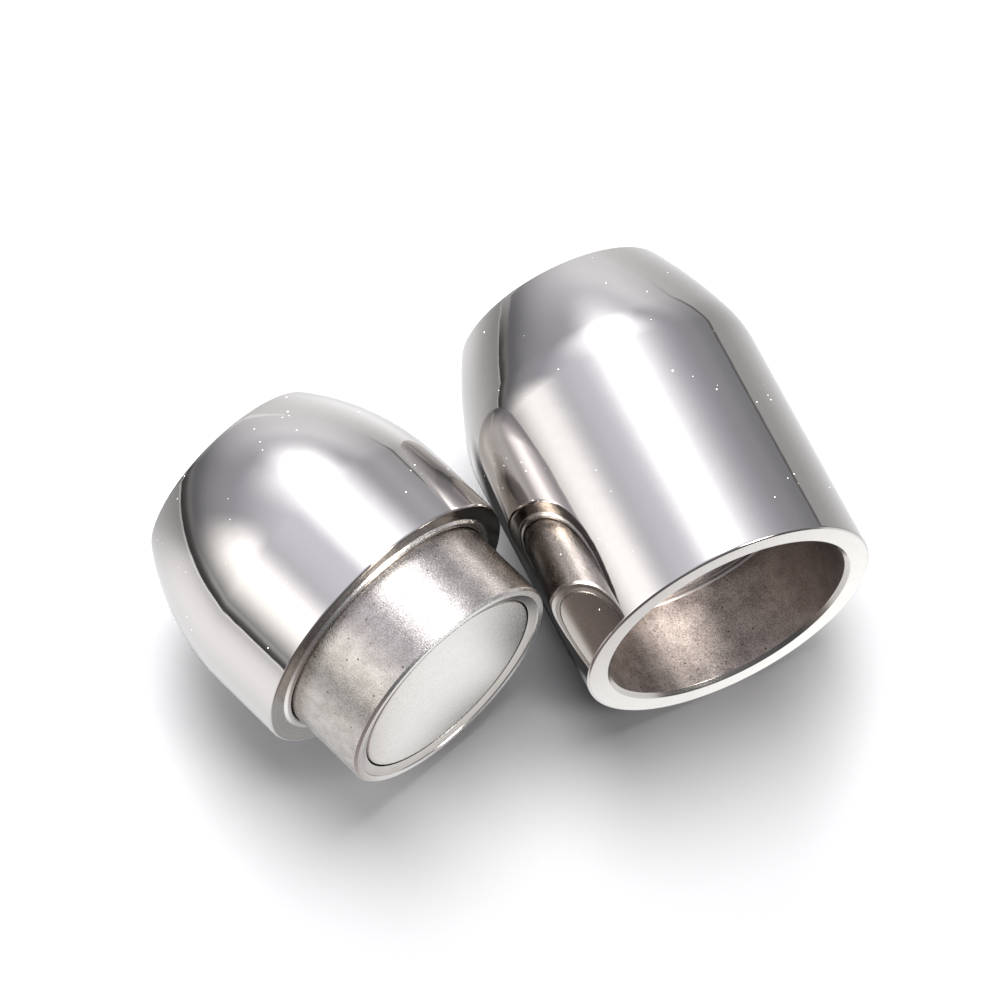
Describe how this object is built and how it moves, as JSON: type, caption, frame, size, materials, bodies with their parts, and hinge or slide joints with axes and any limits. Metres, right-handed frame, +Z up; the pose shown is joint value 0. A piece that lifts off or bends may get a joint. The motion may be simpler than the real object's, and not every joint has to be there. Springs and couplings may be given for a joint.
{
  "type": "magnetic clasp",
  "caption": "Magnetic clasp for a round cord: polished bullet-shaped halves, one with a projecting magnet cup, the other with a bore that takes it, lying side by side.",
  "frame": {"origin": "middle of the footprint on the surface that the two halves lie on, midway between the lowest and highest X and Y", "axes": "+Z up; the socket half's axis is level and its mouth faces -Y; the plug half lies on its -X side, level, with its mouth turned 17.5 degrees from -Y towards +X"},
  "size_m": [0.025, 0.015, 0.012],
  "materials": {
    "polished_steel": "mirror-polished stainless steel",
    "blasted_steel": "fine-blasted satin stainless steel",
    "nickel_plate": "satin nickel plating on the magnet"
  },
  "bodies": {
    "root": {"plug_shell": "polished_steel", "plug_cup": "blasted_steel", "plug_magnet": "nickel_plate", "socket_shell": "polished_steel", "socket_magnet": "nickel_plate"}
  },
  "joints": []
}
